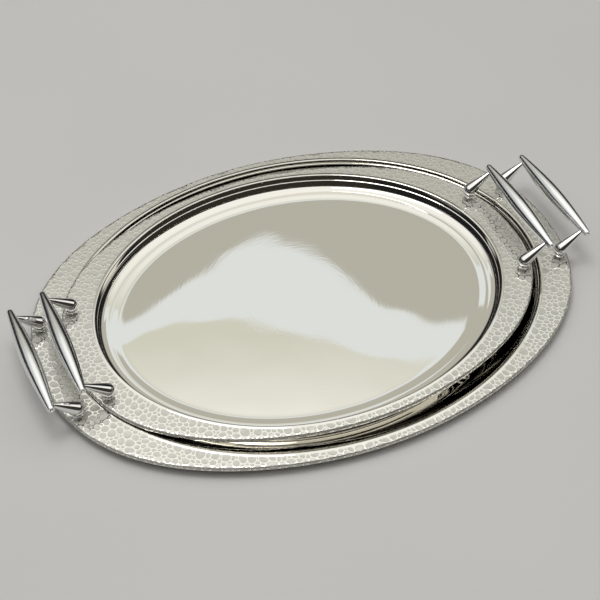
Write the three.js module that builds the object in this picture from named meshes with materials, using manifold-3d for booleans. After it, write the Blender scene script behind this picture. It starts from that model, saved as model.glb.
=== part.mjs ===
// Serving tray set: two oval pressed steel trays of one design, the smaller lying in the larger.
// Millimetres. X runs from handle to handle, Y across the tray, Z up.
// The origin is on the surface that the large tray stands on, under the middle of its base.
import * as THREE from 'three';
import { mergeVertices } from 'three/addons/utils/BufferGeometryUtils.js';
import Module from 'manifold-3d';

const wasm = await Module();
wasm.setup();

// ---- Overall sizes ------------------------------------------------------------------------------
const length = 580;         // large tray over its turned-down edge
const width = 419;
const nestStepX = 39.4;     // how much the small tray is shorter at each end
const nestStepY = 28.1;     // and narrower at each side
const rimEnd = 33.5;        // rim's width at the ends, over the turned-down edge
const rimSide = 10.9;       // and at the sides
const swell = 0.020;        // how much the outline is fuller than an ellipse at its four shoulders
const shoulderLean = 0.021; // and how far that fullness leans towards the ends
const wellDepth = 16.8;     // small tray's rim down to its base

// ---- The pressing, the same on both trays -------------------------------------------------------
const sheet = 1.0;          // stainless sheet
const lipDrop = 4.6;        // turned-down edge, below the rim's top face
const edgeRoll = 1.6;       // outside radius where the rim turns down into the lip
const mouthRoll = 1.4;      // outside radius where the rim turns down into the well
const upperWallRun = 0.8;   // draft of the wall above the step
const stepShare = 0.48;     // the step is about half way down the wall
const stepRun = 0.9;        // width of the step
const stepFall = 0.3;       // slope of the step
const lowerWallRun = 1.2;   // draft of the wall below the step
const coveRun = 11.5;       // hollow curve from the wall to the base, across
const coveRise = 3.2;       // and its height
const baseRingRun = 7.0;    // nearly flat ring round the base, across
const baseRingRise = 0.8;   // and its height

// ---- The handles, the same on both trays --------------------------------------------------------
const postSpacing = 120;    // between the two posts of a handle
const postInset = 9.9;      // outline to the post's middle, along X
const postReach = 25;       // post's ball to the bar's axis, along X
const ballHeight = 10.6;    // ball's centre above the rim
const barHeight = 29.6;     // bar's axis above the rim
const barOverhang = 8.0;    // bar's end beyond the post's middle
const barMiddleRadius = 8.8;
const barEndRadius = 3.4;
const barTaper = 1.7;       // 1 is a straight taper, 2 a round belly
const ballRadius = 7.0;
const postThinRadius = 1.5;
const postTaper = 1.2;      // 1 is a straight cone
const collarRadius = 6.4;   // the bead at the collar's top, close under the ball
const collarFootRadius = 5.1;
const collarTop = 5.4;      // above the rim
const collarBead = 1.0;     // height of the bead
const collarSlope = 0.9;    // height of the slope from the foot out to the bead
const endRecessRadius = 1.6;
const endRecessDepth = 2.4;

// ---- Fixings ------------------------------------------------------------------------------------
const screwRadius = 2.0;
const screwTop = 9.0;       // end of the screw above the rim's top face
const screwHeadRadius = 4.0;
const screwHeadHeight = 2.2;
const screwHeadBevel = 0.6;
const driveWidth = 0.9;     // the cross recess in the screw's head
const driveLength = 4.2;
const driveDepth = 1.1;
const washerRadius = 5.5;
const washerThickness = 1.0;
const pinRadius = 0.7;      // dowel that joins a post's thin end to the bar
const pinBite = 2.0;        // depth of the dowel in the bar
const pinRoot = 3.0;        // depth of the dowel in the post

// ---- How the small tray lies in the large one ---------------------------------------------------
const nestShiftX = -7.1;
const nestShiftY = -0.1;
const nestTurn = THREE.MathUtils.degToRad(-1.17);
const lipClear = 1.4;       // small tray's lip above the large tray's rim

// ---- Clearances ---------------------------------------------------------------------------------
const faceGap = 0.3;        // between two pieces that lie on each other
const boreGap = 0.3;        // round a screw or a dowel, in its hole

// ---- What follows from them ---------------------------------------------------------------------
const barLength = postSpacing + 2 * barOverhang;
const largeTray = { length, width, swell, lean: shoulderLean, depth: 0 };
const smallTray = {
  length: length - 2 * nestStepX, width: width - 2 * nestStepY, swell, lean: shoulderLean,
  depth: wellDepth,
};
// The small tray stands on the large tray's base, and its lip just passes over the large rim.
const smallLift = sheet + faceGap;
largeTray.depth = wellDepth + smallLift - lipDrop - lipClear;

const ovalSteps = 60;
const rollSteps = 2;
const coveSteps = 3;
const cutMargin = 1;        // how far a cutting solid passes through a face
const roundSides = 12;      // sides of the handle's round pieces, the fixings and their holes
const pinSides = 8;
const barSteps = 8;
const ballSteps = 3;
const stemSteps = 5;

const steel = { color: 0xc8c5ba, roughness: 0.16, metalness: 1 };
const chrome = { color: 0xd4d5d6, roughness: 0.12, metalness: 1 };
const fixing = { color: 0x9a9c9e, roughness: 0.35, metalness: 1 };

// ---- Solids: from geometry to manifold and back -------------------------------------------------
function solidOf(geometry) {
  const plain = geometry.clone();
  plain.deleteAttribute('normal');
  plain.deleteAttribute('uv');
  const merged = mergeVertices(plain, 1e-5);
  return new wasm.Manifold(new wasm.Mesh({
    numProp: 3,
    vertProperties: new Float32Array(merged.attributes.position.array),
    triVerts: new Uint32Array(merged.index.array),
  }));
}

function geometryOf(solid) {
  const mesh = solid.getMesh();
  const geometry = new THREE.BufferGeometry();
  geometry.setAttribute('position', new THREE.BufferAttribute(mesh.vertProperties, 3));
  geometry.setIndex(new THREE.BufferAttribute(mesh.triVerts, 1));
  geometry.computeVertexNormals();
  return geometry;
}

function cut(geometry, tools) {
  const rest = tools.reduce((solid, tool) => solid.subtract(solidOf(tool)), solidOf(geometry));
  return geometryOf(rest);
}

// A lathe turned about Z from [radius, height] points that start and end on the axis.
function turned(points, sides = roundSides) {
  const profile = points.map(([radius, height]) => new THREE.Vector2(radius, height));
  return new THREE.LatheGeometry(profile, sides).rotateX(Math.PI / 2);
}

// A cylinder about Z between two heights.
function rod(radius, low, high, sides = roundSides) {
  return turned([[0, low], [radius, low], [radius, high], [0, high]], sides);
}

// ---- Ovals --------------------------------------------------------------------------------------
// A point of an ellipse whose four shoulders are swelled, and its outward normal.
function ovalPoint(oval, turn) {
  const shoulder = Math.sin(2 * turn) ** 2;
  const swelled = 1 + shoulder * (oval.swell + oval.lean * Math.cos(2 * turn));
  return new THREE.Vector2(
    oval.length / 2 * Math.cos(turn) * swelled,
    oval.width / 2 * Math.sin(turn) * swelled,
  );
}

function ovalNormal(oval, turn) {
  const step = 1e-4;
  const along = ovalPoint(oval, turn + step).sub(ovalPoint(oval, turn - step)).normalize();
  return new THREE.Vector2(along.y, -along.x);
}

// One closed ring of points: the oval drawn in by `inset`, at height z.
function ring(oval, inset, z) {
  const points = [];
  for (let i = 0; i < ovalSteps; i += 1) {
    const turn = 2 * Math.PI * i / ovalSteps;
    const at = ovalPoint(oval, turn).addScaledVector(ovalNormal(oval, turn), -inset);
    points.push([at.x, at.y, z]);
  }
  return points;
}

// A closed body through rings, from a flat middle on top, out and round, to a flat middle below.
function bodyThroughRings(rings) {
  const positions = rings.flat(2);
  const count = rings.length;
  const top = count * ovalSteps;
  positions.push(0, 0, rings[0][0][2]);
  positions.push(0, 0, rings[count - 1][0][2]);
  const faces = [];
  for (let i = 0; i < ovalSteps; i += 1) {
    const next = (i + 1) % ovalSteps;
    faces.push(top, i, next);
    const last = (count - 1) * ovalSteps;
    faces.push(top + 1, last + next, last + i);
    for (let r = 0; r + 1 < count; r += 1) {
      const inner = r * ovalSteps;
      const outer = inner + ovalSteps;
      faces.push(inner + i, outer + i, outer + next);
      faces.push(inner + i, outer + next, inner + next);
    }
  }
  const geometry = new THREE.BufferGeometry();
  geometry.setAttribute('position', new THREE.Float32BufferAttribute(positions, 3));
  geometry.setIndex(faces);
  return geometry;
}

// ---- The pressed tray ---------------------------------------------------------------------------
// The well's section as [in from the mouth, down from the rim's top face], from the base outwards.
function wellSection(depth) {
  const stepStart = upperWallRun;
  const stepDrop = stepShare * (depth - baseRingRise - coveRise);
  const stepEnd = stepStart + stepRun;
  const wallEnd = stepEnd + lowerWallRun;
  const coveTop = depth - baseRingRise - coveRise;
  const points = [[wallEnd + coveRun + baseRingRun, depth]];
  for (let i = coveSteps; i >= 0; i -= 1) {
    const turn = Math.PI / 2 * i / coveSteps;
    points.push([wallEnd + coveRun * (1 - Math.cos(turn)), coveTop + coveRise * Math.sin(turn)]);
  }
  points.push([stepEnd, stepDrop + stepFall], [stepStart, stepDrop]);
  for (let i = 0; i <= rollSteps; i += 1) {
    const turn = Math.PI / 2 * i / rollSteps;
    points.push([mouthRoll * (Math.cos(turn) - 1), mouthRoll * (1 - Math.sin(turn))]);
  }
  return points;
}

// The same section moved out by the sheet, square to its own slope: the pressing's underside.
function underside(points) {
  return points.map((point, i) => {
    const before = points[Math.max(i - 1, 0)];
    const after = points[Math.min(i + 1, points.length - 1)];
    const normals = [[before, point], [point, after]].map(([a, b]) => {
      const along = new THREE.Vector2(b[0] - a[0], b[1] - a[1]);
      return new THREE.Vector2(along.y, -along.x).normalize();
    });
    if (i === 0) normals[0].set(0, 1);
    if (i === points.length - 1) normals[1].set(0, 1);
    const middle = normals[0].clone().add(normals[1]).normalize();
    const reach = sheet / middle.dot(normals[0]);
    return [point[0] + middle.x * reach, point[1] + middle.y * reach];
  });
}

// The well's mouth is a plain ellipse, so the rim is wider at the ends than at the sides.
function wellMouth(tray) {
  return { length: tray.length - 2 * rimEnd, width: tray.width - 2 * rimSide, swell: 0, lean: 0 };
}

function trayBody(tray) {
  const mouth = wellMouth(tray);
  const well = wellSection(tray.depth);
  const rings = well.map(([inset, drop]) => ring(mouth, inset, -drop));
  for (let i = 0; i <= rollSteps; i += 1) {
    const turn = Math.PI / 2 * i / rollSteps;
    rings.push(ring(tray, edgeRoll * (1 - Math.sin(turn)), -edgeRoll * (1 - Math.cos(turn))));
  }
  rings.push(ring(tray, 0, -lipDrop), ring(tray, sheet, -lipDrop));
  const innerRoll = edgeRoll - sheet;
  for (let i = rollSteps; i >= 0; i -= 1) {
    const turn = Math.PI / 2 * i / rollSteps;
    const inset = sheet + innerRoll * (1 - Math.sin(turn));
    rings.push(ring(tray, inset, -sheet - innerRoll * (1 - Math.cos(turn))));
  }
  underside(well).reverse().forEach(([inset, drop]) => rings.push(ring(mouth, inset, -drop)));
  const holes = postPlaces(tray).map(([x, y]) => (
    rod(screwRadius + boreGap, -sheet - cutMargin, cutMargin).translate(x, y, 0)
  ));
  return cut(bodyThroughRings(rings), holes);
}

// ---- Handle pieces, each about its own origin ---------------------------------------------------
// The bar's radius at a distance from its middle. `grown` makes the shape that leaves a gap to it.
function barRadiusAt(distance, grown) {
  const share = Math.min(distance / (barLength / 2), 1);
  return barEndRadius + (barMiddleRadius - barEndRadius) * (1 - share ** barTaper) + grown;
}

function barSpindle(grown) {
  const half = barLength / 2;
  const points = [[0, -half]];
  for (let i = 0; i <= barSteps; i += 1) {
    const at = -half + barLength * i / barSteps;
    points.push([barRadiusAt(Math.abs(at), grown), at]);
  }
  points.push([0, half]);
  return turned(points).rotateX(-Math.PI / 2);
}

// The post's direction from its ball up to the bar, for a handle on the +X end.
const postRun = new THREE.Vector3(postReach, 0, barHeight - ballHeight);
const postLength = postRun.length();
const postDirection = postRun.clone().normalize();
const lean = new THREE.Quaternion().setFromUnitVectors(new THREE.Vector3(0, 0, 1), postDirection);

function teardrop(grown) {
  const points = [];
  for (let i = 0; i < ballSteps; i += 1) {
    const turn = Math.PI / 2 * i / ballSteps;
    const radius = ballRadius + grown;
    points.push([radius * Math.sin(turn), -radius * Math.cos(turn)]);
  }
  for (let i = 0; i <= stemSteps; i += 1) {
    const share = i / stemSteps;
    const taper = (ballRadius - postThinRadius) * (1 - share ** postTaper);
    points.push([postThinRadius + taper + grown, postLength * share]);
  }
  points.push([0, postLength]);
  return turned(points).applyQuaternion(lean);
}

// Where the bar's surface crosses the post's axis, and the dowel's two ends, from the ball's centre.
const barFace = postLength - barRadiusAt(postSpacing / 2, 0);
const pinLow = barFace - pinRoot;
const pinHigh = barFace + pinBite;

// A hole for the dowel, long enough to open out of the post's end and of the bar's side.
function pinHole() {
  return rod(pinRadius + boreGap, pinLow - faceGap, pinHigh + faceGap, pinSides)
    .applyQuaternion(lean);
}

// Post with its origin at the ball's centre.
function postSolid() {
  const bar = barSpindle(faceGap).translate(postReach, -postSpacing / 2, barHeight - ballHeight);
  const thread = rod(screwRadius + boreGap, -ballHeight, screwTop + faceGap - ballHeight);
  return cut(teardrop(0), [bar, thread, pinHole()]);
}

// Bar with its origin on its axis, half way along.
function barSolid() {
  const half = barLength / 2;
  const tools = [-1, 1].map((end) => {
    const length = endRecessDepth + cutMargin;
    const middle = end * (half - endRecessDepth + length / 2);
    return rod(endRecessRadius, -length / 2, length / 2, pinSides).rotateX(Math.PI / 2)
      .translate(0, middle, 0);
  });
  [-1, 1].forEach((side) => {
    tools.push(pinHole().translate(-postReach, side * postSpacing / 2, ballHeight - barHeight));
  });
  return cut(barSpindle(0), tools);
}

function pinSolid() {
  return rod(pinRadius, pinLow, pinHigh, pinSides).applyQuaternion(lean);
}

// Collar with its origin on the rim's top face. The ball sits in its hollow top.
function collarSolid() {
  const beadLow = collarTop - collarBead;
  const profile = [
    [0, faceGap], [collarFootRadius, faceGap], [collarFootRadius, beadLow - collarSlope],
    [collarRadius, beadLow], [collarRadius, collarTop], [0, collarTop],
  ];
  const hole = rod(screwRadius + boreGap, faceGap - cutMargin, collarTop + cutMargin);
  return cut(turned(profile), [teardrop(faceGap).translate(0, 0, ballHeight), hole]);
}

const washerTop = -sheet - faceGap;
const headTop = washerTop - washerThickness - faceGap;

function washerSolid() {
  const low = washerTop - washerThickness;
  const disc = rod(washerRadius, low, washerTop);
  return cut(disc, [rod(screwRadius + boreGap, low - cutMargin, washerTop + cutMargin)]);
}

function screwSolid() {
  const headLow = headTop - screwHeadHeight;
  const profile = [
    [0, headLow], [screwHeadRadius - screwHeadBevel, headLow],
    [screwHeadRadius, headLow + screwHeadBevel],
    [screwHeadRadius, headTop], [screwRadius, headTop], [screwRadius, screwTop], [0, screwTop],
  ];
  const slots = [[driveLength, driveWidth], [driveWidth, driveLength]].map(([x, y]) => (
    new THREE.BoxGeometry(x, y, driveDepth * 2).translate(0, 0, headLow)
  ));
  return cut(turned(profile), slots);
}

// ---- Placing ------------------------------------------------------------------------------------
// How far out a handle post stands along X: in from the outline, where the outline passes it.
function postXOf(tray) {
  let low = 0;
  let high = Math.PI / 2;
  for (let i = 0; i < 40; i += 1) {
    const middle = (low + high) / 2;
    if (ovalPoint(tray, middle).y < postSpacing / 2) low = middle;
    else high = middle;
  }
  return ovalPoint(tray, low).x - postInset;
}

function postPlaces(tray) {
  const places = [];
  [-1, 1].forEach((end) => [-1, 1].forEach((side) => {
    places.push([end * postXOf(tray), side * postSpacing / 2]);
  }));
  return places;
}

function piece(name, geometry, look, place, turn = 0) {
  const mesh = new THREE.Mesh(geometry, new THREE.MeshStandardMaterial(look));
  mesh.name = name;
  mesh.position.set(...place);
  mesh.rotation.z = turn;
  return mesh;
}

const post = postSolid();
const bar = barSolid();
const pin = pinSolid();
const collar = collarSolid();
const washer = washerSolid();
const screw = screwSolid();

// A tray with its two handles, about the middle of the rim's top face.
function trayWithHandles(name, tray) {
  const group = new THREE.Group();
  group.add(piece(`${name}_body`, trayBody(tray), steel, [0, 0, 0]));
  [['left', -1], ['right', 1]].forEach(([endName, end]) => {
    const turn = end > 0 ? 0 : Math.PI;
    const label = `${name}_${endName}`;
    const barX = end * (postXOf(tray) + postReach);
    group.add(piece(`${label}_bar`, bar, chrome, [barX, 0, barHeight], turn));
    [['front', -1], ['back', 1]].forEach(([sideName, side]) => {
      const x = end * postXOf(tray);
      const y = side * postSpacing / 2;
      // The saddle in a post's thin end follows the bar's taper, so it is cut for its own side.
      const shape = side * end > 0 ? post : mirrored(post);
      group.add(piece(`${label}_post_${sideName}`, shape, chrome, [x, y, ballHeight], turn));
      group.add(piece(`${label}_pin_${sideName}`, pin, fixing, [x, y, ballHeight], turn));
      group.add(piece(`${label}_collar_${sideName}`, collar, chrome, [x, y, 0], turn));
      group.add(piece(`${label}_washer_${sideName}`, washer, fixing, [x, y, 0]));
      group.add(piece(`${label}_screw_${sideName}`, screw, fixing, [x, y, 0]));
    });
  });
  return group;
}

// The same geometry mirrored across the XZ plane, with its faces still pointing out.
function mirrored(geometry) {
  const copy = geometry.clone().scale(1, -1, 1);
  const index = copy.index.array;
  for (let i = 0; i < index.length; i += 3) {
    [index[i], index[i + 1]] = [index[i + 1], index[i]];
  }
  return copy;
}

const group = new THREE.Group();

const large = trayWithHandles('large', largeTray);
large.position.z = sheet + largeTray.depth;
group.add(large);

const small = trayWithHandles('small', smallTray);
small.position.set(nestShiftX, nestShiftY, smallLift + sheet + smallTray.depth);
small.rotation.z = nestTurn;
group.add(small);

export default group;
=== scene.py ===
# %% [markdown]
# # Two nested oval serving trays
# A small polished steel tray lies in a large one of the same design. Each is one pressing: a flat base,
# a hollow curve up to a stepped wall, a flat rim with an etched scale pattern, and a turned-down lip.
# Each carries two handles: a spindle-shaped bar on two teardrop posts that stand on small collars.
# The fixed frame comes first, because every piece takes its place from it.

# %% Load the fixed frame
import math
import random

import bpy
import numpy as np
from mathutils import Matrix, Vector, geometry
from mathutils.kdtree import KDTree


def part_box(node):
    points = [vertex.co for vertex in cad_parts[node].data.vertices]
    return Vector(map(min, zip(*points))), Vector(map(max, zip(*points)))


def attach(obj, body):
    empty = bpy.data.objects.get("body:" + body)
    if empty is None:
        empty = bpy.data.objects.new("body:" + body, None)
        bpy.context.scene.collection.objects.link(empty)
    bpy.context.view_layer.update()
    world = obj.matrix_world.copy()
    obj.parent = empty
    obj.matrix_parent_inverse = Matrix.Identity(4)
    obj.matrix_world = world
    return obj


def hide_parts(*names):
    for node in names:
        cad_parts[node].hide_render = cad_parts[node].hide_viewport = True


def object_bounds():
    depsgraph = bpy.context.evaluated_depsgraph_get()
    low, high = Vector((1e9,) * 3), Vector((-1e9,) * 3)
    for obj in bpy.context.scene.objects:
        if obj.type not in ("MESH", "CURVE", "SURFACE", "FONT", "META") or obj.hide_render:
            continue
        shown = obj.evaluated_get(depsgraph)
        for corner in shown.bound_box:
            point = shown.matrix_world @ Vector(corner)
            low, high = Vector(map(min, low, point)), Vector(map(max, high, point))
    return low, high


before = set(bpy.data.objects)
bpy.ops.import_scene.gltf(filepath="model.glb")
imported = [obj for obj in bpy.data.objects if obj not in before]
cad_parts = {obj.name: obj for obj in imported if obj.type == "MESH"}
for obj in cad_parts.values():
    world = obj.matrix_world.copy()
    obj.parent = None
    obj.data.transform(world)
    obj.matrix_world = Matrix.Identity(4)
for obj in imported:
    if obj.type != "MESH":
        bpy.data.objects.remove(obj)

MM = 0.001
cad_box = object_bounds()
print("CAD box in mm:", [[round(v / MM, 1) for v in corner] for corner in cad_box])

# %% [markdown]
# ## Camera
# The trays are seen from above the front left, about 47 degrees up, through a long lens. The camera is
# given by its direction, a slight roll and its distance from the middle of the large rim, so that it
# would follow if the trays changed size.

# %% Camera
TURN, TILT, ROLL = (math.radians(v) for v in (-26.48, 46.91, 2.14))
DISTANCE, SIDEWAYS, UPWARDS = 1.3836, -0.0082, -0.0095
LENS, SENSOR = 79.44, 36.0

towards = Vector((math.sin(TURN) * math.cos(TILT), -math.cos(TURN) * math.cos(TILT), math.sin(TILT)))
level_right = Vector((math.cos(TURN), math.sin(TURN), 0))
level_up = towards.cross(level_right)
right = math.cos(ROLL) * level_right + math.sin(ROLL) * level_up
up = math.cos(ROLL) * level_up - math.sin(ROLL) * level_right
rim_middle = Vector((0, 0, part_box("large_body")[1].z))
stand = rim_middle + DISTANCE * towards + SIDEWAYS * level_right + UPWARDS * level_up

lens = bpy.data.cameras.new("camera")
lens.lens, lens.sensor_width = LENS, SENSOR
lens.clip_start, lens.clip_end = 0.05, 60
camera = bpy.data.objects.new("camera", lens)
bpy.context.scene.collection.objects.link(camera)
camera.matrix_world = Matrix.Translation(stand) @ Matrix((right, up, towards)).transposed().to_4x4()
bpy.context.scene.camera = camera
print("camera stands", round(stand.length, 3), "m from the origin")

# %% [markdown]
# ## Helpers for node trees
# Materials, the light and the Geometry Nodes are all node trees. One helper adds a node, sets its
# properties and its inputs, and takes either a value or another node's output for each input. A second
# one does sums, because most of a tree is arithmetic.

# %% Node helpers
def feed(tree, socket, value):
    """Links another node's output to a socket, or sets the socket's own value."""
    if isinstance(value, bpy.types.NodeSocket):
        tree.links.new(value, socket)
    else:
        socket.default_value = value


def add_node(tree, kind, inputs=None, **properties):
    node = tree.nodes.new(kind)
    for name, value in properties.items():
        setattr(node, name, value)
    for key, value in (inputs or {}).items():
        feed(tree, node.inputs[key], value)
    return node


def sums(tree, operation, *values):
    node = add_node(tree, "ShaderNodeMath", dict(enumerate(values)), operation=operation)
    return node.outputs[0]


# %% [markdown]
# ## Studio light
# Mirror-bright steel shows little but what surrounds it. The studio here is one soft dome: dark near the
# horizon, which gives the steep walls their black bands, a warm grey from 36 degrees up, a cooler white
# card above it, and a cream glow higher still. The edges of these cards wave a little, as hung paper
# does. Three soft-edged patches break the ring: a cream card on the right, which lights the handle posts,
# a grey card on the left, and a dark stretch in front. A soft lamp overhead adds a gentle shadow.

# %% Studio light
DARK = (0.016, 0.016, 0.018, 1)
WARM_GREY = (0.50, 0.49, 0.43, 1)
WHITE_CARD = (0.80, 0.83, 0.84, 1)
CREAM_LOW = (0.68, 0.68, 0.59, 1)
CREAM_HIGH = (0.93, 0.92, 0.87, 1)
OVERHEAD = (1.0, 0.985, 0.95, 1)
DARK_UP_TO, GREY_FROM = 30.0, 36.0
CARD_FROM, CARD_WAVE, CARD_WAVES, CARD_PHASE, CARD_SOFT = 45.9, 1.5, 18, 80.6, 0.16
CREAM_FROM, CREAM_WAVE, CREAM_WAVES, CREAM_PHASE, CREAM_SOFT = 48.6, 0.7, 15, 314.7, 0.07
CREAM_FULL, OVERHEAD_FROM = 52.2, 58.0
# Each side card: its middle, clockwise from the back, its half width, its lower and upper edge, in degrees.
RIGHT_CARD = (112, 32, 26, 60)
LEFT_CARD = (-66, 38, 28, 48)
DARK_FRONT = (168, 52, -95, 54)
RIGHT_CREAM = (0.95, 0.93, 0.87, 1)
LEFT_GREY = (0.60, 0.61, 0.60, 1)
DARK_BROWN = (0.035, 0.030, 0.026, 1)
SIDE_SOFT = 4.0
DOME_STRENGTH = 1.12
SEEN_BACKDROP = (0.46, 0.46, 0.455, 1)
HORIZON, ZENITH = 0, 90
LAMP_SIZE, LAMP_POWER = 1.1, 16
LAMP_COLOUR, LAMP_PLACE = (1.0, 0.985, 0.96), (-0.25, 0.35, 2.6)

world = bpy.data.worlds.new("studio")
bpy.context.scene.world = world
world.use_nodes = True
sky = world.node_tree
sky.nodes.clear()
direction = add_node(sky, "ShaderNodeSeparateXYZ",
                     {0: add_node(sky, "ShaderNodeTexCoord").outputs["Generated"]}).outputs
height = sums(sky, "MULTIPLY", sums(sky, "ARCSINE", direction["Z"]), 180 / math.pi)
around = sums(sky, "ARCTAN2", direction["X"], direction["Y"])


def card_share(start, wave, waves, phase, soft):
    """0 below the card's waving lower edge, 1 above it."""
    angle = sums(sky, "SUBTRACT", sums(sky, "MULTIPLY", around, waves), math.radians(phase))
    edge = sums(sky, "SUBTRACT", start, sums(sky, "MULTIPLY", sums(sky, "COSINE", angle), wave))
    share = add_node(sky, "ShaderNodeMapRange", {
        "Value": sums(sky, "SUBTRACT", height, edge), "From Min": -soft, "From Max": soft,
    }, interpolation_type="SMOOTHSTEP")
    return share.outputs[0]


def side_share(middle, half_width, low, high):
    """1 inside a soft-edged patch of the dome, 0 outside it."""
    aside = sums(sky, "COSINE", sums(sky, "SUBTRACT", around, math.radians(middle)))
    edges = ((aside, math.cos(math.radians(half_width + SIDE_SOFT)),
              math.cos(math.radians(half_width - SIDE_SOFT))),
             (height, low - SIDE_SOFT, low + SIDE_SOFT), (height, high + SIDE_SOFT, high - SIDE_SOFT))
    shares = [add_node(sky, "ShaderNodeMapRange", {"Value": value, "From Min": outside, "From Max": inside},
                       interpolation_type="SMOOTHSTEP").outputs[0] for value, outside, inside in edges]
    return sums(sky, "MULTIPLY", sums(sky, "MULTIPLY", shares[0], shares[1]), shares[2])


def ramp_over(tree, value, low, high, stops):
    """A colour ramp over a span of values, with stops as (value, colour)."""
    share = add_node(tree, "ShaderNodeMapRange", {"Value": value, "From Min": low, "From Max": high})
    ramp = add_node(tree, "ShaderNodeValToRGB", {0: share.outputs[0]})
    elements = ramp.color_ramp.elements
    while len(elements) < len(stops):
        elements.new(0.5)
    for element, (at, colour) in zip(elements, stops):
        element.position = (at - low) / (high - low)
        element.color = colour
    return ramp.outputs[0]


def blend_colours(tree, share, first, second):
    node = add_node(tree, "ShaderNodeMix", data_type="RGBA")
    for name, value in (("Factor_Float", share), ("A_Color", first), ("B_Color", second)):
        feed(tree, next(s for s in node.inputs if s.identifier == name), value)
    return next(s for s in node.outputs if s.identifier == "Result_Color")


low_sky = ramp_over(sky, height, HORIZON, ZENITH, [
    (HORIZON, DARK), (DARK_UP_TO, DARK), (GREY_FROM, WARM_GREY), (ZENITH, WARM_GREY)])
low_sky = blend_colours(sky, side_share(*LEFT_CARD), low_sky, LEFT_GREY)
low_sky = blend_colours(sky, side_share(*RIGHT_CARD), low_sky, RIGHT_CREAM)
cream = ramp_over(sky, height, HORIZON, ZENITH, [
    (CREAM_FROM, CREAM_LOW), (CREAM_FULL, CREAM_HIGH), (OVERHEAD_FROM, OVERHEAD), (ZENITH, OVERHEAD)])
with_card = blend_colours(sky, card_share(CARD_FROM, CARD_WAVE, CARD_WAVES, CARD_PHASE, CARD_SOFT),
                          low_sky, WHITE_CARD)
dome = blend_colours(sky, card_share(CREAM_FROM, CREAM_WAVE, CREAM_WAVES, CREAM_PHASE, CREAM_SOFT),
                     with_card, cream)
dome = blend_colours(sky, side_share(*DARK_FRONT), dome, DARK_BROWN)
seen = blend_colours(sky, add_node(sky, "ShaderNodeLightPath").outputs["Is Camera Ray"], dome,
                     SEEN_BACKDROP)
glow = add_node(sky, "ShaderNodeBackground", {"Color": seen, "Strength": DOME_STRENGTH})
add_node(sky, "ShaderNodeOutputWorld", {"Surface": glow.outputs[0]})

lamp = bpy.data.lights.new("overhead lamp", "AREA")
lamp.shape, lamp.size, lamp.energy = "DISK", LAMP_SIZE, LAMP_POWER
lamp.color = LAMP_COLOUR
lamp_object = bpy.data.objects.new("overhead lamp", lamp)
lamp_object.location = LAMP_PLACE
lamp_object.rotation_euler = (-Vector(LAMP_PLACE)).to_track_quat("-Z", "Y").to_euler()
bpy.context.scene.collection.objects.link(lamp_object)

view = bpy.context.scene.view_settings
view.view_transform, view.look = "Standard", "None"
print("dome and lamp in place")

# %% [markdown]
# ## Materials
# All the metal is the same kind of surface with a different finish, so one helper makes a metal and
# hands back its tree for the detail. The pressing is polished by turning wheels: it keeps a very slight
# waviness, and the wells' floors also keep fine circular marks. Both are far too shallow to change the
# outline, which is why they are bump. The other finishes differ mainly in how fine their grain is.

# %% Metal materials
def metal(name, colour, roughness):
    material = bpy.data.materials.new(name)
    material.use_nodes = True
    tree = material.node_tree
    shader = tree.nodes["Principled BSDF"]
    shader.inputs["Base Color"].default_value = (*colour, 1)
    shader.inputs["Metallic"].default_value = 1
    shader.inputs["Roughness"].default_value = roughness
    place = add_node(tree, "ShaderNodeTexCoord").outputs["Object"]
    return material, tree, shader, place


def noise(tree, vector, scale, detail=2.0, rough=0.5):
    return add_node(tree, "ShaderNodeTexNoise", {
        "Vector": vector, "Scale": scale, "Detail": detail, "Roughness": rough}).outputs[0]


def bump(tree, height_socket, distance, normal=None):
    inputs = {"Height": height_socket, "Distance": distance, "Strength": 1.0}
    if normal is not None:
        inputs["Normal"] = normal
    return add_node(tree, "ShaderNodeBump", inputs).outputs[0]


def add_grain(tree, shader, vector, scale, detail, height):
    """An even, fine roughness all over a surface."""
    tree.links.new(bump(tree, noise(tree, vector, scale, detail), height), shader.inputs["Normal"])


BLOTCH_FROM, BLOTCH_TO = 0.3, 0.7      # the stretch of the noise that the two shades share


def blotches(tree, vector, darker, lighter, **settings):
    """Two shades of a colour in soft patches."""
    return ramp_over(tree, noise(tree, vector, **settings), BLOTCH_FROM, BLOTCH_TO,
                     [(BLOTCH_FROM, (*darker, 1)), (BLOTCH_TO, (*lighter, 1))])


STEEL = (0.80, 0.785, 0.74)
ETCHED_DARKER, ETCHED_LIGHTER = (0.56, 0.555, 0.515), (0.66, 0.655, 0.61)
BRUSHED = (1500, 22, 1500)             # satin grain is drawn out along Y, the way the bars lie
WAVE_SCALE, WAVE_HEIGHT = 12.0, 0.00030
MARK_RINGS, MARK_TURNS, MARK_HEIGHT = 420.0, 5.0, 0.0000060
MARKS_BELOW = 0.0032                   # only the wells' floors carry the circular marks

polished, tree, shader, place = metal("polished_steel", STEEL, roughness=0.022)
spot_xyz = add_node(tree, "ShaderNodeSeparateXYZ", {0: place}).outputs
radius = add_node(tree, "ShaderNodeVectorMath", {0: add_node(
    tree, "ShaderNodeCombineXYZ", {0: spot_xyz["X"], 1: spot_xyz["Y"]}).outputs[0]}, operation="LENGTH")
angle = sums(tree, "ARCTAN2", spot_xyz["Y"], spot_xyz["X"])
polar = add_node(tree, "ShaderNodeCombineXYZ", {
    0: sums(tree, "MULTIPLY", sums(tree, "COSINE", angle), MARK_TURNS),
    1: sums(tree, "MULTIPLY", sums(tree, "SINE", angle), MARK_TURNS),
    2: sums(tree, "MULTIPLY", radius.outputs["Value"], MARK_RINGS)}).outputs[0]
marks = bump(tree, noise(tree, polar, scale=1.0, detail=3.0, rough=0.6), MARK_HEIGHT)
tree.links.new(sums(tree, "LESS_THAN", spot_xyz["Z"], MARKS_BELOW), marks.node.inputs["Strength"])
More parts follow.
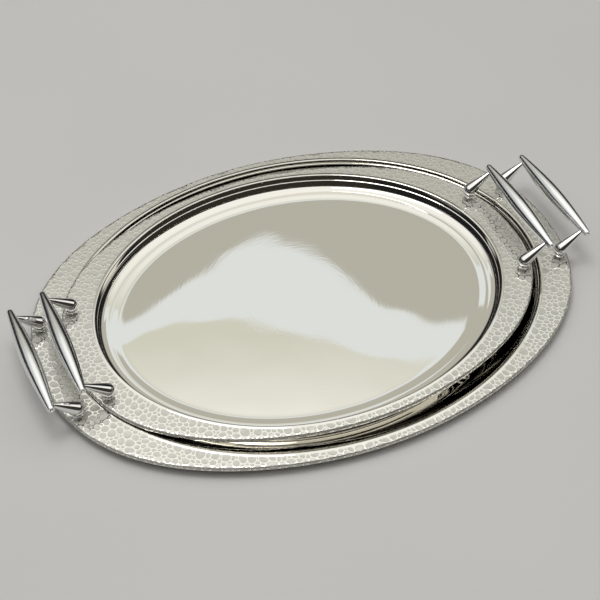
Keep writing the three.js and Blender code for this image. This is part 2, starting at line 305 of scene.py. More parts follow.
waves = bump(tree, noise(tree, place, WAVE_SCALE, detail=1.0, rough=0.4), WAVE_HEIGHT, marks)
tree.links.new(waves, shader.inputs["Normal"])

veins, tree, shader, place = metal("polished_veins", (0.86, 0.85, 0.80), roughness=0.10)
add_grain(tree, shader, place, scale=500, detail=2.0, height=0.000004)

etched, tree, shader, place = metal("etched_scales", (0.70, 0.69, 0.64), roughness=0.55)
patchy = blotches(tree, place, ETCHED_DARKER, ETCHED_LIGHTER, scale=260, detail=3.0, rough=0.6)
tree.links.new(patchy, shader.inputs["Base Color"])
add_grain(tree, shader, place, scale=2600, detail=2.0, height=0.00006)

chrome, tree, shader, place = metal("chrome", (0.86, 0.86, 0.86), roughness=0.05)
add_grain(tree, shader, place, scale=60, detail=1.0, height=0.00002)

satin, tree, shader, place = metal("satin_chrome", (0.86, 0.865, 0.87), roughness=0.17)
stretched = add_node(tree, "ShaderNodeMapping", {"Vector": place, "Scale": BRUSHED}).outputs[0]
add_grain(tree, shader, stretched, scale=1.0, detail=2.0, height=0.000035)

plain, tree, shader, place = metal("plain_steel", (0.55, 0.56, 0.57), roughness=0.34)
add_grain(tree, shader, place, scale=700, detail=2.0, height=0.00003)

print("materials:", len(bpy.data.materials))

# %% [markdown]
# ## Floor
# A plain pale floor, far wider than the trays, so that its edge is out of sight in every view.

# %% Floor
FLOOR_RADIUS, FLOOR_GAP, FLOOR_SIDES = 12.0, 0.0002, 96
FLOOR_ROUGHNESS = 0.85
FLOOR_DARKER, FLOOR_LIGHTER = (0.60, 0.60, 0.595), (0.63, 0.63, 0.625)
bpy.ops.mesh.primitive_circle_add(vertices=FLOOR_SIDES, radius=FLOOR_RADIUS, fill_type="NGON",
                                  location=(0, 0, cad_box[0].z - FLOOR_GAP))
floor = bpy.context.object
floor.name = "floor"
paint = bpy.data.materials.new("pale_floor")
paint.use_nodes = True
tree = paint.node_tree
shader = tree.nodes["Principled BSDF"]
shader.inputs["Roughness"].default_value = FLOOR_ROUGHNESS
floor_place = add_node(tree, "ShaderNodeTexCoord").outputs["Object"]
floor_colour = blotches(tree, floor_place, FLOOR_DARKER, FLOOR_LIGHTER, scale=1.5)
tree.links.new(floor_colour, shader.inputs["Base Color"])
floor.data.materials.append(paint)
print("floor at", round(floor.location.z / MM, 1), "mm")

# %% [markdown]
# ## Making and finishing a mesh
# Most pieces are made from arrays of points, so one helper turns points and faces into an object, and
# another hands the finished piece to the frame: which body carries it and which plain CAD pieces it
# stands for. Two more turn a profile about an axis, as a lathe does, and move points to their place, so
# that every finished object stays at the origin.

# %% Mesh helpers
def mesh_piece(name, points, faces, *materials):
    mesh = bpy.data.meshes.new(name)
    mesh.from_pydata([tuple(p) for p in points], [], [tuple(f) for f in faces])
    mesh.shade_smooth()
    for material in materials:
        mesh.materials.append(material)
    mesh.validate()
    thing = bpy.data.objects.new(name, mesh)
    bpy.context.scene.collection.objects.link(thing)
    return thing


def hand_over(thing, tray, slot, *nodes):
    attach(thing, f"{tray}_tray")
    if nodes:
        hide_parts(*nodes)


def lathe(profile, sides):
    """Points and faces of a turned solid about Z, from (radius, height) that start and end at radius 0."""
    turn = np.linspace(0, 2 * math.pi, sides, endpoint=False)
    circle = np.stack([np.cos(turn), np.sin(turn)], 1)
    inner = profile[1:-1]
    points = [np.column_stack([circle * r, np.full(sides, z)]) for r, z in inner]
    points = np.vstack(points + [[[0, 0, profile[0][1]]], [[0, 0, profile[-1][1]]]])
    first, last = len(inner) * sides, len(inner) * sides + 1
    faces = []
    for i in range(sides):
        j = (i + 1) % sides
        faces.append((first, j, i))
        faces.append((last, (len(inner) - 1) * sides + i, (len(inner) - 1) * sides + j))
        for r in range(len(inner) - 1):
            a, b = r * sides, (r + 1) * sides
            faces.append((a + i, a + j, b + j, b + i))
    return points, faces


def moved(points, matrix):
    flat = np.column_stack([points, np.ones(len(points))])
    return (flat @ np.array(matrix).T)[:, :3]


# %% [markdown]
# ## The two trays' sizes and places
# Both trays follow one rule: the outline is an ellipse a little fuller at its four shoulders, and the
# well's mouth is a plain ellipse, so the rim is wide at the ends and narrow at the sides. The sizes are
# those of the pressing, and the place of each tray is read from its CAD body.

# %% Tray sizes
SWELL, LEAN = 0.020, 0.021
RIM_END, RIM_SIDE = 33.5 * MM, 10.9 * MM
NEST_STEP = (39.4 * MM, 28.1 * MM)
NEST_TURN = math.radians(-1.17)
SHEET = 1.0 * MM
LIP_DROP, EDGE_ROLL = 4.6 * MM, 1.6 * MM
NUDGE = 1e-4                # a small turn either way, to find which way the outline runs


def ellipse(long, wide, swell, lean, count):
    """Points round an oval and their outward normals."""
    def at(turn):
        full = 1 + np.sin(2 * turn) ** 2 * (swell + lean * np.cos(2 * turn))
        return np.stack([long / 2 * np.cos(turn) * full, wide / 2 * np.sin(turn) * full], 1)
    turn = np.linspace(0, 2 * math.pi, count, endpoint=False)
    along = at(turn + NUDGE) - at(turn - NUDGE)
    along /= np.linalg.norm(along, axis=1)[:, None]
    return at(turn), np.stack([along[:, 1], -along[:, 0]], 1)


def tray_facts(name):
    low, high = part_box(f"{name}_body")
    big_low, big_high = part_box("large_body")
    step = NEST_STEP if name == "small" else (0, 0)
    return {
        "name": name,
        "long": big_high.x - big_low.x - 2 * step[0], "wide": big_high.y - big_low.y - 2 * step[1],
        "depth": high.z - low.z - SHEET,
        "place": Matrix.Translation(((low.x + high.x) / 2, (low.y + high.y) / 2, high.z))
        @ Matrix.Rotation(NEST_TURN if name == "small" else 0, 4, "Z"),
    }


trays = [tray_facts("large"), tray_facts("small")]
for tray in trays:
    print(tray["name"], *(round(tray[k] / MM, 1) for k in ("long", "wide", "depth")))

# %% [markdown]
# ## The pressed body
# A tray is pressed from one sheet. The body is therefore one closed skin drawn through rings: out over
# the base, up the hollow curve, the stepped wall and the rolled mouth, along the rim, round the lip, and
# back underneath one sheet lower. Bright metal shows every crease, so corners are rounded with a few
# points each instead of being left sharp. Where the etched pattern will lie, the rim is a little lower.

# %% Pressed body
MOUTH_ROLL = 1.4 * MM
UPPER_WALL_RUN, STEP_RUN, STEP_FALL, LOWER_WALL_RUN = 0.8 * MM, 0.9 * MM, 0.3 * MM, 1.2 * MM
STEP_SHARE = 0.48
COVE_RUN, COVE_RISE = 11.5 * MM, 3.2 * MM
BASE_RING_RUN, BASE_RING_RISE = 7.0 * MM, 0.8 * MM
MARGIN = 3.6 * MM           # plain polished band round the mouth
SUNK = 0.35 * MM            # how much lower the body lies under the pattern
FLAT_BASE = 6 * MM          # flat ground kept inside the ring round the base
# How far from its corner each bend begins: round the base, under the cove, and at the wall's step.
BASE_BEND, COVE_BEND, STEP_BEND, STEP_TOP_BEND = 2.5 * MM, 1.2 * MM, 0.35 * MM, 0.3 * MM
STRAIGHT_SHARE = 2.2        # a bend takes no more than a straight's length divided by this
MARGIN_DROP = 0.05 * MM     # the tiny round at the margin's outer edge
LIP_ROUND = 0.25 * MM
AROUND = 400


def softened(corners, steps=4):
    """A line through (x, y, reach) with each corner replaced by a short curve of that reach."""
    line = []
    for i, (x, y, reach) in enumerate(corners):
        here = np.array([x, y])
        if reach == 0 or i in (0, len(corners) - 1):
            line.append(here)
            continue
        sides = [np.array(corners[i + d][:2]) - here for d in (-1, 1)]
        ends = [here + s / np.linalg.norm(s) * min(reach, np.linalg.norm(s) / STRAIGHT_SHARE) for s in sides]
        for k in range(steps + 1):
            t = k / steps
            line.append((1 - t) ** 2 * ends[0] + 2 * t * (1 - t) * here + t ** 2 * ends[1])
    return line


def well_corners(depth, cove_steps, roll_steps):
    step_end = UPPER_WALL_RUN + STEP_RUN
    wall_end = step_end + LOWER_WALL_RUN
    cove_top = depth - BASE_RING_RISE - COVE_RISE
    step_drop = STEP_SHARE * cove_top
    corners = [(wall_end + COVE_RUN + BASE_RING_RUN + FLAT_BASE, depth, 0),
               (wall_end + COVE_RUN + BASE_RING_RUN, depth, BASE_BEND)]
    for i in range(cove_steps, -1, -1):
        turn = math.pi / 2 * i / cove_steps
        reach = COVE_BEND if i == cove_steps else 0
        corners.append((wall_end + COVE_RUN * (1 - math.cos(turn)),
                        cove_top + COVE_RISE * math.sin(turn), reach))
    corners += [(step_end, step_drop + STEP_FALL, STEP_BEND), (UPPER_WALL_RUN, step_drop, STEP_TOP_BEND)]
    for i in range(roll_steps + 1):
        turn = math.pi / 2 * i / roll_steps
        corners.append((MOUTH_ROLL * (math.cos(turn) - 1), MOUTH_ROLL * (1 - math.sin(turn)), 0))
    return corners


def below(line):
    """The same line one sheet lower, square to its own slope."""
    out = []
    for i, here in enumerate(line):
        spans = [line[min(j + 1, len(line) - 1)] - line[j] for j in (max(i - 1, 0), min(i, len(line) - 2))]
        normals = [np.array([s[1], -s[0]]) / np.linalg.norm(s) for s in spans]
        middle = normals[0] + normals[1]
        middle /= np.linalg.norm(middle)
        out.append(here + middle * SHEET / middle.dot(normals[0]))
    return out


def body_rings(tray):
    outline = ellipse(tray["long"], tray["wide"], SWELL, LEAN, AROUND)
    mouth = ellipse(tray["long"] - 2 * RIM_END, tray["wide"] - 2 * RIM_SIDE, 0, 0, AROUND)
    rings = []

    def ring(oval, inset, z):
        points, normals = oval
        rings.append(np.column_stack([points - normals * inset, np.full(AROUND, z)]))

    def rolled_edge(sheet_depth, steps):
        """Insets and heights round the rolled edge, from the rim down to the lip."""
        roll = EDGE_ROLL - sheet_depth
        turns = [math.pi / 2 * i / steps for i in range(steps + 1)]
        return [(EDGE_ROLL - roll * math.sin(t), -EDGE_ROLL + roll * math.cos(t)) for t in turns]

    top = softened(well_corners(tray["depth"], cove_steps=22, roll_steps=8))
    base = mouth[0] - mouth[1] * top[0][0]
    for share in (0.25, 0.5, 0.75):
        rings.append(np.column_stack([base * share, np.full(AROUND, -tray["depth"])]))
    for inset, drop in top:
        ring(mouth, inset, -drop)
    ring(mouth, -MARGIN + 2 * MARGIN_DROP, 0)
    ring(mouth, -MARGIN, -MARGIN_DROP)
    ring(mouth, -MARGIN - MARGIN_DROP, -SUNK)
    for inset, z in rolled_edge(SUNK, steps=8):
        ring(outline, inset, z)
    ring(outline, SUNK, -LIP_DROP + LIP_ROUND)
    ring(outline, SUNK + 0.4 * LIP_ROUND, -LIP_DROP + 0.24 * LIP_ROUND)
    ring(outline, SUNK + LIP_ROUND, -LIP_DROP)
    ring(outline, SHEET - 0.6 * LIP_ROUND, -LIP_DROP)
    ring(outline, SHEET, -LIP_DROP + 0.6 * LIP_ROUND)
    for inset, z in reversed(rolled_edge(SHEET, steps=4)):
        ring(outline, inset, z)
    under = below([np.array(c[:2]) for c in well_corners(tray["depth"], cove_steps=10, roll_steps=4)])
    for inset, drop in reversed(under):
        ring(mouth, inset, -drop)
    base = mouth[0] - mouth[1] * under[0][0]
    for share in (0.66, 0.33):
        rings.append(np.column_stack([base * share, np.full(AROUND, -tray["depth"] - SHEET)]))
    return rings


def body_of(tray):
    rings = body_rings(tray)
    count = len(rings)
    points = np.vstack(rings + [[[0, 0, rings[0][0, 2]]], [[0, 0, rings[-1][0, 2]]]])
    faces = []
    for i in range(AROUND):
        j = (i + 1) % AROUND
        faces.append((count * AROUND, i, j))
        faces.append((count * AROUND + 1, (count - 1) * AROUND + j, (count - 1) * AROUND + i))
        for r in range(count - 1):
            a, b = r * AROUND, (r + 1) * AROUND
            faces.append((a + i, b + i, b + j, a + j))
    body = mesh_piece(f"{tray['name']}_pressing", moved(points, tray["place"]), faces, polished)
    print(body.name, len(faces), "faces")
    hand_over(body, tray["name"], "polished_steel", f"{tray['name']}_body")


for tray in trays:
    body_of(tray)

# %% [markdown]
# ## Where the scales go
# The rim's pattern imitates reptile skin: large rounded cells, small ones in the gaps, and a bright vein
# between them. Acid has sunk the cells and left the veins level with the rim. The pattern runs from the
# plain margin over the rim and down the lip. Points are thrown into that band one by one and kept when
# they are far enough from the others. Each point near a border is copied to the other side of it, so
# that the cells end exactly on the border.

# %% Cell centres
BIG, SMALL = 3.9 * MM, 1.9 * MM       # a cell's rough radius
BIG_SPACING, SMALL_SPACING, MIXED_SPACING = 7.3 * MM, 3.5 * MM, 4.9 * MM
BIG_FROM_BORDER, SMALL_FROM_BORDER = 2.4 * MM, 1.5 * MM
BIG_TRIES, SMALL_TRIES = 26000, 22000
MIRROR_REACH = 7.5 * MM
BARE_LIP = 0.3 * MM                   # the lowest stretch of the lip, left without pattern
MERGE_WITHIN = 1e-6
QUARTER_ROLL = EDGE_ROLL * math.pi / 2
OVER_THE_EDGE = QUARTER_ROLL + (LIP_DROP - BARE_LIP - EDGE_ROLL) - EDGE_ROLL
SAMPLES = 3000


class Border:
    """A closed line with outward normals, asked for the nearest point and the distance outside it."""

    def __init__(self, points, normals, grown=0.0):
        self.points, self.normals = points + normals * grown, normals
        self.tree = KDTree(len(points))
        for i, (x, y) in enumerate(self.points):
            self.tree.insert((x, y, 0), i)
        self.tree.balance()

    def ask(self, x, y):
        index = self.tree.find((x, y, 0))[1]
        (px, py), (nx, ny) = self.points[index], self.normals[index]
        outside = (x - px) * nx + (y - py) * ny
        return outside, (x - outside * nx, y - outside * ny), (nx, ny)


def borders_of(tray):
    outline = ellipse(tray["long"], tray["wide"], SWELL, LEAN, SAMPLES)
    mouth = ellipse(tray["long"] - 2 * RIM_END, tray["wide"] - 2 * RIM_SIDE, 0, 0, SAMPLES)
    return Border(*mouth, MARGIN), Border(*outline, OVER_THE_EDGE), Border(*outline)


def throw_points(inner, outer, seed):
    rng = random.Random(seed)
    grid, kept = {}, []
    cell = BIG_SPACING

    def clear(x, y, radius):
        gx, gy = int(x // cell), int(y // cell)
        for near in (p for i in (-1, 0, 1) for j in (-1, 0, 1) for p in grid.get((gx + i, gy + j), ())):
            both = {BIG + BIG: BIG_SPACING, SMALL + SMALL: SMALL_SPACING}.get(radius + near[2],
                                                                            MIXED_SPACING)
            if math.hypot(near[0] - x, near[1] - y) < both:
                return False
        return True

    for radius, tries, gap in ((BIG, BIG_TRIES, BIG_FROM_BORDER),
                               (SMALL, SMALL_TRIES, SMALL_FROM_BORDER)):
        for _ in range(tries):
            i = rng.randrange(SAMPLES)
            away = rng.uniform(gap, RIM_END + OVER_THE_EDGE - MARGIN - gap)
            x, y = outer.points[i] - outer.normals[i] * away
            if clear(x, y, radius) and inner.ask(x, y)[0] > gap:
                kept.append((x, y, radius))
                grid.setdefault((int(x // cell), int(y // cell)), []).append((x, y, radius))
    return kept


def triangles_between(kept, inner, outer):
    """Triangles between the points, and for each its heart, the corner where its three cells meet."""
    points = [(x, y, radius, None) for x, y, radius in kept]
    for x, y, radius in kept:
        for border in (inner, outer):
            outside, _, (nx, ny) = border.ask(x, y)
            if abs(outside) < MIRROR_REACH:
                points.append((x - 2 * outside * nx, y - 2 * outside * ny, radius, border))
    flat = [Vector((p[0] / MM, p[1] / MM)) for p in points]
    made = geometry.delaunay_2d_cdt(flat, [], [], 0, MERGE_WITHIN)
    corners, faces, hearts = made[0], [], []
    origin = [ids[0] if ids else -1 for ids in made[3]]
    for face in made[2]:
        members = [points[origin[i]] for i in face]
        if all(m[3] is not None for m in members):
            continue
        weight = [1 / m[2] for m in members]
        x, y = (sum(w * m[k] for w, m in zip(weight, members)) / sum(weight) for k in (0, 1))
        edge = next((m[3] for m in members if m[3] is not None), None)
        if edge is not None:
            x, y = edge.ask(x, y)[1]
        a, b, c = (corners[i] for i in face)
        if (b - a).cross(c - a) < 0:
            face = face[::-1]
        faces.append(face)
        hearts.append((x, y, 0))
    return [(c.x * MM, c.y * MM, 0) for c in corners], faces, hearts


# %% [markdown]
# ## The scale tree
# Geometry Nodes turn the triangles into cells. The dual mesh swaps corners and faces, so each point
# becomes a cell. Each cell is then drawn in to leave half a vein round it, and sunk to leave the etched
# floor. One level of subdivision rounds the cells, and the border gets a short skirt so that no gap
# shows. Edges that bend by more than the step angle stay sharp, because an etched step is crisp.
# Building it as a tree keeps vein width and etch depth adjustable for any tray.

# %% Scale tree
def tree_with_inputs(name, floats=(), materials=(), objects=()):
    group = bpy.data.node_groups.new(name, "GeometryNodeTree")
    face = group.interface
    face.new_socket("Geometry", in_out="INPUT", socket_type="NodeSocketGeometry")
    for kind, names in (("Float", floats), ("Material", materials), ("Object", objects)):
        for label in names:
            face.new_socket(label, in_out="INPUT", socket_type=f"NodeSocket{kind}")
    face.new_socket("Geometry", in_out="OUTPUT", socket_type="NodeSocketGeometry")
    return group, group.nodes.new("NodeGroupInput").outputs


STEP_ANGLE = math.radians(8)
FLOOR_SHARE = 0.96          # the etched floor's size against the top of its step


def scale_tree():
    group, given = tree_with_inputs("scale pattern", ("Vein Width", "Vein Rise", "Etch Depth", "Skirt"),
                                    ("Vein Metal", "Etched Metal"))
    cells = add_node(group, "GeometryNodeDualMesh", {0: given["Geometry"]}).outputs[0]
    heart = add_node(group, "GeometryNodeInputNamedAttribute", {"Name": "heart"},
                     data_type="FLOAT_VECTOR").outputs["Attribute"]
    placed = add_node(group, "GeometryNodeSetPosition", {"Geometry": cells, "Position": heart}).outputs[0]

    def drawn_in(mesh, selection, drop, scale):
        """The selected faces sunk by `drop` and drawn in to `scale` of their size."""
        inputs = {"Mesh": mesh, "Offset Scale": sums(group, "MULTIPLY", drop, -1.0)}
        if selection is not None:
            inputs["Selection"] = selection
        sunk = add_node(group, "GeometryNodeExtrudeMesh", inputs, mode="FACES")
        smaller = add_node(group, "GeometryNodeScaleElements", {
            "Geometry": sunk.outputs["Mesh"], "Selection": sunk.outputs["Top"], "Scale": scale})
        return smaller.outputs[0], sunk.outputs["Top"], sunk.outputs["Side"]

    area = add_node(group, "GeometryNodeInputMeshFaceArea").outputs[0]
    half_size = sums(group, "SQRT", sums(group, "DIVIDE", area, math.pi))
    shrink = sums(group, "SUBTRACT", 1.0, sums(
        group, "DIVIDE", sums(group, "DIVIDE", given["Vein Width"], 2.0), half_size))
    step, top, _ = drawn_in(placed, None, given["Vein Rise"], shrink)
    step, floor_top, floor_side = drawn_in(step, top, given["Etch Depth"], FLOOR_SHARE)
    either = add_node(group, "FunctionNodeBooleanMath", {0: floor_top, 1: floor_side},
                      operation="OR").outputs[0]
    marked = add_node(group, "GeometryNodeStoreNamedAttribute", {
        "Geometry": step, "Name": "etched", "Value": either}, data_type="BOOLEAN", domain="FACE")
    round_cells = add_node(group, "GeometryNodeSubdivisionSurface", {
        "Mesh": marked.outputs[0], "Level": 1}).outputs[0]
    faces_beside = add_node(group, "GeometryNodeInputMeshEdgeNeighbors").outputs[0]
    on_border = sums(group, "LESS_THAN", faces_beside, 1.5)    # an edge with a face on one side only
    down = add_node(group, "ShaderNodeCombineXYZ", {
        2: sums(group, "MULTIPLY", given["Skirt"], -1.0)}).outputs[0]
    skirted = add_node(group, "GeometryNodeExtrudeMesh", {
        "Mesh": round_cells, "Selection": on_border, "Offset": down, "Offset Scale": 1.0},
        mode="EDGES").outputs["Mesh"]
    bent = add_node(group, "GeometryNodeInputMeshEdgeAngle").outputs["Unsigned Angle"]
    rounded = add_node(group, "GeometryNodeSetShadeSmooth", {"Geometry": skirted}).outputs[0]
    crisp = add_node(group, "GeometryNodeSetShadeSmooth", {
        "Geometry": rounded, "Selection": sums(group, "GREATER_THAN", bent, STEP_ANGLE),
        "Shade Smooth": False}, domain="EDGE").outputs[0]
    real = add_node(group, "GeometryNodeRealizeInstances", {0: crisp}).outputs[0]
    all_vein = add_node(group, "GeometryNodeSetMaterial", {
        "Geometry": real, "Material": given["Vein Metal"]}).outputs[0]
    floor_mark = add_node(group, "GeometryNodeInputNamedAttribute", {"Name": "etched"},
                          data_type="BOOLEAN").outputs["Attribute"]
    last = add_node(group, "GeometryNodeSetMaterial", {
        "Geometry": all_vein, "Selection": floor_mark, "Material": given["Etched Metal"]}).outputs[0]
    add_node(group, "NodeGroupOutput", {0: last})
    return group


def run_tree(thing, group, settings, name):
    """Runs a tree on an object with its inputs set, and returns the result as a plain object."""
    modifier = thing.modifiers.new("tree", "NODES")
    modifier.node_group = group
    for item in group.interface.items_tree:
        if item.in_out == "INPUT" and item.name in settings:
            modifier[item.identifier] = settings[item.name]
    bpy.context.view_layer.update()
    ready = thing.evaluated_get(bpy.context.evaluated_depsgraph_get())
    mesh = bpy.data.meshes.new_from_object(ready)
    mesh.name = name
    thing.modifiers.remove(modifier)
    made = bpy.data.objects.new(name, mesh)
    bpy.context.scene.collection.objects.link(made)
    return made


# %% [markdown]
# ## Bending the pattern over the edge
# The tree works flat. What lies beyond the flat part of the rim is wound over the rolled edge and then
# straight down the lip, each point keeping its own small height above the metal.

# %% Scales on both trays
VEIN_WIDTH, VEIN_RISE, ETCH_DEPTH, SKIRT = 0.75 * MM, 0.0, 0.08 * MM, 0.5 * MM


def bend_over_edge(points, outline):
    bent = points.copy()
    for k, (x, y, z) in enumerate(points):
        outside, (fx, fy), (nx, ny) = outline.ask(x, y)
        past = outside + EDGE_ROLL
        if past <= 0:
            continue
        turn = min(past / EDGE_ROLL, math.pi / 2)
        out = -EDGE_ROLL + (EDGE_ROLL + z) * math.sin(turn)
        drop = EDGE_ROLL - (EDGE_ROLL + z) * math.cos(turn) + max(past - QUARTER_ROLL, 0)
        bent[k] = (fx + nx * out, fy + ny * out, -drop)
    return bent


scales = scale_tree()
for seed, tray in enumerate(trays, start=4):
    inner, outer, outline = borders_of(tray)
    kept = throw_points(inner, outer, seed)
    corners, faces, hearts = triangles_between(kept, inner, outer)
    flat = mesh_piece("flat_cells", corners, faces)
    mark = flat.data.attributes.new("heart", "FLOAT_VECTOR", "FACE")
    mark.data.foreach_set("vector", np.array(hearts, np.float32).ravel())
    settings = {"Vein Width": VEIN_WIDTH, "Vein Rise": VEIN_RISE, "Etch Depth": ETCH_DEPTH,
                "Skirt": SKIRT, "Vein Metal": veins, "Etched Metal": etched}
    skin = run_tree(flat, scales, settings, f"{tray['name']}_scales")
    bpy.data.objects.remove(flat)
    points = np.zeros(len(skin.data.vertices) * 3)
    skin.data.vertices.foreach_get("co", points)
    points = bend_over_edge(points.reshape(-1, 3), outline)
    skin.data.vertices.foreach_set("co", moved(points, tray["place"]).ravel())
    skin.data.update()
    print(skin.name, len(kept), "cells", len(skin.data.polygons), "faces",
          "mean normal z", round(float(np.mean([p.normal.z for p in skin.data.polygons])), 2))
    hand_over(skin, tray["name"], "polished_steel")

# %% [markdown]
# ## Handles
# Each handle is a spindle turned from bar, with flat-cut ends and a small recess in each, carried by
# two teardrop posts. A post is round and full where it stands on its collar and thins towards the bar.
# All of them are turned shapes, so they are lathed from a profile and then laid in place.

# %% Handle shapes
BAR_HALF, BAR_MIDDLE, BAR_END, BAR_TAPER = 68.0 * MM, 8.8 * MM, 3.4 * MM, 1.7
RECESS_RADIUS, RECESS_DEPTH, RECESS_BEVEL, END_BEVEL = 1.6 * MM, 2.4 * MM, 0.1 * MM, 0.25 * MM
POST_REACH, BALL_HEIGHT, BAR_HEIGHT = 25 * MM, 10.6 * MM, 29.6 * MM
BALL, POST_THIN, POST_TAPER = 7.0 * MM, 1.3 * MM, 1.15
COLLAR, COLLAR_FOOT, COLLAR_TOP, COLLAR_BEAD = 6.4 * MM, 5.1 * MM, 5.4 * MM, 1.0 * MM
COLLAR_SLOPE, COLLAR_BEVEL, COLLAR_FLARE = 0.9 * MM, 0.3 * MM, 0.25 * MM
SOCKET_TRIM = 0.1 * MM      # the socket's curve stops this far short of the bead and of its lowest point
GAP = 0.3 * MM
BAR_STEPS, BALL_STEPS, STEM_STEPS, BEAD_STEPS, SOCKET_STEPS = 36, 16, 40, 9, 6


def bar_profile():
    outside = []
    for i in range(-BAR_STEPS, BAR_STEPS + 1):
        radius = BAR_END + (BAR_MIDDLE - BAR_END) * (1 - (abs(i) / BAR_STEPS) ** BAR_TAPER)
        outside.append((radius, BAR_HALF * i / BAR_STEPS))
    outside[0] = (BAR_END, -BAR_HALF + END_BEVEL)
    outside[-1] = (BAR_END, BAR_HALF - END_BEVEL)
    end = [(0, BAR_HALF - RECESS_DEPTH), (RECESS_RADIUS, BAR_HALF - RECESS_DEPTH),
           (RECESS_RADIUS, BAR_HALF - RECESS_BEVEL), (RECESS_RADIUS + RECESS_BEVEL, BAR_HALF),
           (BAR_END - END_BEVEL, BAR_HALF)]
    return [(r, -z) for r, z in end] + outside + end[::-1]


def post_profile(length):
    ball = [(BALL * math.sin(a), -BALL * math.cos(a)) for a in np.linspace(0, math.pi / 2, BALL_STEPS)]
    stem = []
    for share in np.linspace(0, 1, STEM_STEPS)[1:]:
        stem.append((POST_THIN + (BALL - POST_THIN) * (1 - share ** POST_TAPER), length * share))
    return ball + stem + [(0, length)]


def collar_profile():
    """A foot that flares into a rounded bead, with a hollow top that the ball sits in."""
    bead = [(COLLAR - COLLAR_BEAD / 2 * (1 - math.cos(a)), COLLAR_TOP - COLLAR_BEAD / 2 * (1 - math.sin(a)))
            for a in np.linspace(-math.pi / 2, math.pi / 2, BEAD_STEPS)]
    low = COLLAR_TOP - COLLAR_BEAD
    socket = [(math.sqrt((BALL + GAP) ** 2 - (BALL_HEIGHT - z) ** 2), z)
              for z in np.linspace(COLLAR_TOP - SOCKET_TRIM, BALL_HEIGHT - BALL - GAP + SOCKET_TRIM,
                                   SOCKET_STEPS)]
    return [(0, GAP), (COLLAR_FOOT - COLLAR_BEVEL, GAP), (COLLAR_FOOT, GAP + COLLAR_BEVEL),
            (COLLAR_FOOT, low - COLLAR_SLOPE), (COLLAR_FOOT + COLLAR_FLARE, low - 0.5 * COLLAR_SLOPE),
            *bead, *socket, (0, BALL_HEIGHT - BALL - GAP)]


bar_shape = lathe(bar_profile(), sides=72)
post_run = Vector((POST_REACH, 0, BAR_HEIGHT - BALL_HEIGHT))
post_shape = lathe(post_profile(post_run.length), sides=56)
collar_shape = lathe(collar_profile(), sides=56)
post_lean = Vector((0, 0, 1)).rotation_difference(post_run.normalized()).to_matrix().to_4x4()
print("a bar is", round(2 * BAR_HALF / MM), "mm long, a post", round(post_run.length / MM, 1), "mm")

# %% Handles in place
ENDS, SIDES = (("left", -1), ("right", 1)), ("front", "back")


def middle_of(node):
    low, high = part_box(node)
    return (low + high) / 2


for tray in trays:
    name = tray["name"]
    spin = tray["place"].to_euler().z
    rim = tray["place"].translation.z
    for end_name, end in ENDS:
        facing = Matrix.Rotation(spin + (math.pi if end < 0 else 0), 4, "Z")
        label = f"{name}_{end_name}"
        points, faces = bar_shape
        lay = Matrix.Translation(middle_of(f"{label}_bar")) @ facing @ Matrix.Rotation(-math.pi / 2, 4, "X")
        bar = mesh_piece(f"{label}_spindle", moved(points, lay), faces, satin)
        hand_over(bar, name, "satin_chrome", f"{label}_bar")
        for side in SIDES:
            at = middle_of(f"{label}_collar_{side}")
            foot = Matrix.Translation((at.x, at.y, rim))
            points, faces = post_shape
            lift = Matrix.Translation((0, 0, BALL_HEIGHT))
            post = mesh_piece(f"{label}_teardrop_{side}",
                              moved(points, foot @ facing @ lift @ post_lean), faces, chrome)
            hand_over(post, name, "chrome", f"{label}_post_{side}")
            points, faces = collar_shape
            collar = mesh_piece(f"{label}_foot_ring_{side}", moved(points, foot), faces, chrome)
            hand_over(collar, name, "chrome", f"{label}_collar_{side}")
print("handles:", len(trays) * len(ENDS))

# %% [markdown]
# ## Screws and washers under the rim
# A screw and a washer fasten each post from below. There are eight of each, so a small tree sets one
# finished screw and one washer on each point and makes the copies real, once for each tray. The screw
# is turned, and the cross in its head is cut by two crossed blocks.

# %% Fixings
SCREW, SCREW_TOP, HEAD, HEAD_HEIGHT = 2.0 * MM, 9.0 * MM, 4.0 * MM, 2.2 * MM
WASHER, WASHER_THICK = 5.5 * MM, 1.0 * MM
WASHER_BEVEL = 0.15 * MM
DRIVE_WIDTH, DRIVE_LENGTH, DRIVE_DEPTH = 0.9 * MM, 4.2 * MM, 1.1 * MM


def ring_solid(outer_radius, inner_radius, low, high, bevel, sides=40):
    """A flat ring with bevelled outer edges and an open hole."""
    profile = [(inner_radius, low), (outer_radius - bevel, low), (outer_radius, low + bevel),
               (outer_radius, high - bevel), (outer_radius - bevel, high), (inner_radius, high)]
    turn = np.linspace(0, 2 * math.pi, sides, endpoint=False)
    points = np.vstack([np.column_stack([np.cos(turn) * r, np.sin(turn) * r, np.full(sides, z)])
                        for r, z in profile])
    faces = []
    for i in range(sides):
        j = (i + 1) % sides
        for r in range(len(profile)):
            a, b = r * sides, (r + 1) % len(profile) * sides
            faces.append((a + i, a + j, b + j, b + i))
    return points, faces


def drilled(thing, tools):
    """Cuts tools out of a piece with booleans, and bakes the result."""
    for tool in tools:
        cutter = thing.modifiers.new("cut", "BOOLEAN")
        cutter.operation, cutter.object, cutter.solver = "DIFFERENCE", tool, "EXACT"
    bpy.context.view_layer.update()
    ready = thing.evaluated_get(bpy.context.evaluated_depsgraph_get())
    mesh = bpy.data.meshes.new_from_object(ready)
    thing.modifiers.clear()
    thing.data = mesh
    for tool in tools:
        bpy.data.objects.remove(tool)


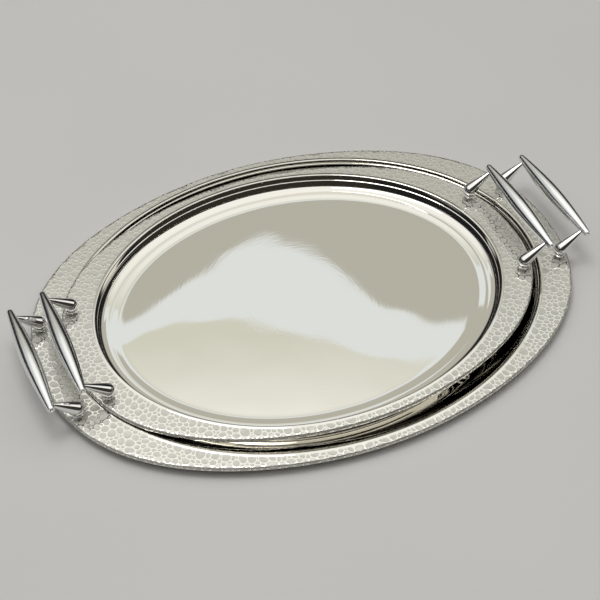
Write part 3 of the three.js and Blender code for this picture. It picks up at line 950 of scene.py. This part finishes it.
def block(width, length, height, at):
    """A box used as a cutting tool, centred on `at`."""
    corners = [(x * width / 2, y * length / 2, at + z * height / 2)
               for x in (-1, 1) for y in (-1, 1) for z in (-1, 1)]
    faces = [(0, 1, 3, 2), (4, 6, 7, 5), (0, 4, 5, 1), (2, 3, 7, 6), (0, 2, 6, 4), (1, 5, 7, 3)]
    return mesh_piece("tool", corners, faces)


washer_top = -SHEET - GAP
head_top = washer_top - WASHER_THICK - GAP
head_low = head_top - HEAD_HEIGHT
screw_profile = [(0, head_low), (HEAD - 1.3 * MM, head_low), (HEAD - 0.5 * MM, head_low + 0.25 * MM),
                 (HEAD - 0.1 * MM, head_low + 0.7 * MM), (HEAD, head_low + 1.2 * MM),
                 (HEAD, head_top - 0.15 * MM), (HEAD - 0.15 * MM, head_top), (SCREW, head_top),
                 (SCREW, SCREW_TOP - 0.4 * MM), (SCREW - 0.4 * MM, SCREW_TOP), (0, SCREW_TOP)]
screw = mesh_piece("screw", *lathe(screw_profile, sides=40), plain)
drilled(screw, [block(DRIVE_WIDTH, DRIVE_LENGTH, 2 * DRIVE_DEPTH, head_low),
                block(DRIVE_LENGTH, DRIVE_WIDTH, 2 * DRIVE_DEPTH, head_low)])
washer = mesh_piece("washer", *ring_solid(WASHER, SCREW + GAP, washer_top - WASHER_THICK, washer_top,
                                          WASHER_BEVEL), plain)


def fixing_tree():
    group, given = tree_with_inputs("fixings", (), ("Metal",), ("Screw", "Washer"))
    joined = add_node(group, "GeometryNodeJoinGeometry")
    for part in ("Screw", "Washer"):
        source = add_node(group, "GeometryNodeObjectInfo", {"Object": given[part]}).outputs["Geometry"]
        copies = add_node(group, "GeometryNodeInstanceOnPoints", {
            "Points": given["Geometry"], "Instance": source}).outputs[0]
        group.links.new(copies, joined.inputs[0])
    real = add_node(group, "GeometryNodeRealizeInstances", {0: joined.outputs[0]}).outputs[0]
    last = add_node(group, "GeometryNodeSetMaterial", {
        "Geometry": real, "Material": given["Metal"]}).outputs[0]
    add_node(group, "NodeGroupOutput", {0: last})
    return group


fixings = fixing_tree()
for tray in trays:
    name, rim = tray["name"], tray["place"].translation.z
    labels = [f"{name}_{end}_{{}}_{side}" for end, _ in ENDS for side in SIDES]
    spots = [middle_of(label.format("screw")) for label in labels]
    holders = mesh_piece("holders", [(p.x, p.y, rim) for p in spots], [])
    made = run_tree(holders, fixings, {"Metal": plain, "Screw": screw, "Washer": washer},
                    f"{name}_fixings")
    bpy.data.objects.remove(holders)
    hand_over(made, name, "plain_steel", *(label.format(kind) for label in labels
                                           for kind in ("screw", "washer")))
    print(made.name, len(made.data.polygons), "faces")
for used in (screw, washer):
    bpy.data.objects.remove(used)

# %% [markdown]
# ## Dowels
# A thin dowel joins each post to its bar. It is hidden in both, and its CAD piece is already the right
# shape, so it stays and only gets the plain steel finish.

# %% Dowels
for node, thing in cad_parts.items():
    if "_pin_" in node:
        for slot in thing.material_slots:
            slot.material = plain
print("dowels:", sum("_pin_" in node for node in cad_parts))
